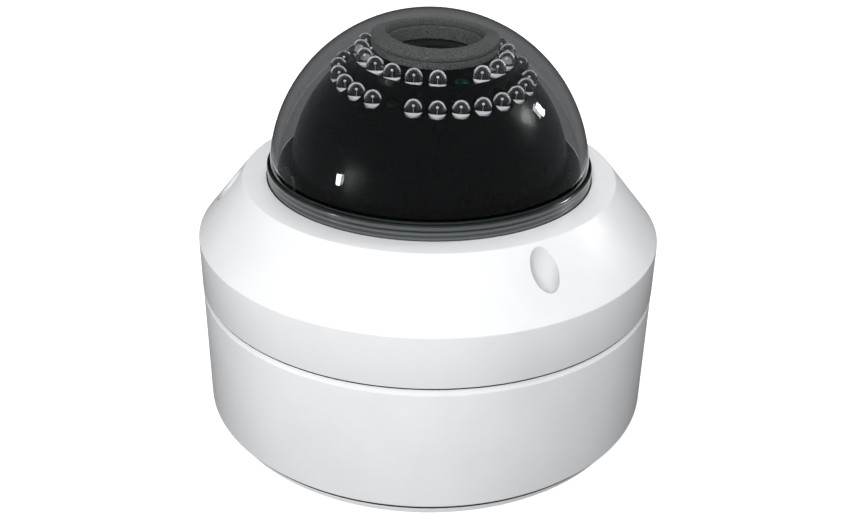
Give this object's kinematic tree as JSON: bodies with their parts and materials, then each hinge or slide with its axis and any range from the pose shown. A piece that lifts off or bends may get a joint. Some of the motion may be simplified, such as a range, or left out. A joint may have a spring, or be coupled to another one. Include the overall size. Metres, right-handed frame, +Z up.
{
  "type": "dome cctv camera",
  "caption": "Vandal-resistant dome camera: round housing, lift-off cover with a clear dome, and a lens with infrared LEDs that pans, tilts and rotates.",
  "frame": {"origin": "centre of the mounting plate's lower face", "axes": "+Z up the dome's axis, the front of the camera faces -Y"},
  "size_m": [0.1488, 0.1488, 0.1327],
  "materials": {
    "white_housing": "die-cast, white powder coat, fine satin",
    "clear_dome": "clear polycarbonate, polished",
    "black_shroud": "semi-gloss black",
    "foam": "dark grey open-cell foam",
    "black_rubber": "matt black rubber",
    "steel": "satin stainless steel",
    "dark_metal": "black anodised",
    "circuit_board": "green solder mask",
    "lens_glass": "coated optical glass",
    "sensor": "glass-covered chip",
    "connector": "moulded nylon",
    "photocell": "tinted teal lens"
  },
  "bodies": {
    "base": {"mount_plate": "white_housing", "mount_gasket": "black_rubber", "base_housing": "white_housing", "conduit_plug": "white_housing", "rim_seal": "black_rubber", "cable_grommet": "black_rubber", "power_board": "circuit_board", "terminal_block": "connector", "gimbal_plate": "steel", "gimbal_screw_1": "steel", "gimbal_screw_2": "steel", "gimbal_screw_3": "steel"},
    "pan": {"turntable": "dark_metal", "turntable_clip": "steel", "yoke_arm_left": "dark_metal", "yoke_arm_right": "dark_metal", "arm_screw_1": "steel", "arm_screw_2": "steel", "pan_lock_screw": "steel"},
    "ball": {"eyeball_shroud": "black_shroud", "led_board_outer": "circuit_board", "led_board_inner": "circuit_board", "photocell": "photocell", "foam_ring_lower": "foam", "foam_ring_upper": "foam", "shroud_screw_1": "steel", "shroud_screw_2": "steel", "shroud_screw_3": "steel", "core_carrier": "dark_metal", "pivot_screw_left": "steel", "pivot_screw_right": "steel"},
    "core": {"lens_mount": "dark_metal", "core_clip": "steel", "sensor_board": "circuit_board", "image_sensor": "sensor", "processor_board": "circuit_board", "sensor_spacer_1": "steel", "sensor_spacer_2": "steel", "board_standoff_1": "steel", "board_standoff_2": "steel", "lens_barrel": "dark_metal", "lens_front_glass": "lens_glass", "lens_rear_glass": "lens_glass"},
    "zoom": {"zoom_ring": "black_shroud", "zoom_knob": "steel"},
    "focus": {"focus_ring": "black_shroud", "focus_knob": "steel"},
    "cover": {"dome_cover": "white_housing", "dome_bubble": "clear_dome", "dome_gasket": "black_rubber", "dome_retainer": "steel", "inner_liner": "black_shroud", "retainer_screw_1": "steel", "retainer_screw_2": "steel", "retainer_screw_3": "steel", "cover_screw_1": "steel", "cover_screw_2": "steel", "cover_screw_3": "steel"}
  },
  "joints": [
    {"name": "cover_lift", "type": "slide", "parent": "base", "child": "cover", "axis": [0, 0, 1], "range_m": [0, 0.09]},
    {"name": "pan", "type": "hinge", "parent": "base", "child": "pan", "pos_m": [0, 0, 0.03], "axis": [0, 0, 1], "range_deg": [-177.5, 177.5]},
    {"name": "tilt", "type": "hinge", "parent": "pan", "child": "ball", "pos_m": [0, 0, 0.0817], "axis": [0.9397, 0.342, 0], "range_deg": [-4.5, 65.5]},
    {"name": "lens_rotate", "type": "hinge", "parent": "ball", "child": "core", "pos_m": [0, 0, 0.0817], "axis": [0.0268, -0.0737, 0.9969], "range_deg": [-177.5, 177.5]},
    {"name": "zoom_turn", "type": "hinge", "parent": "core", "child": "zoom", "pos_m": [0, 0, 0.0817], "axis": [0.0268, -0.0737, 0.9969], "range_deg": [-35, 35]},
    {"name": "focus_turn", "type": "hinge", "parent": "core", "child": "focus", "pos_m": [0, 0, 0.0817], "axis": [0.0268, -0.0737, 0.9969], "range_deg": [-60, 60]}
  ]
}
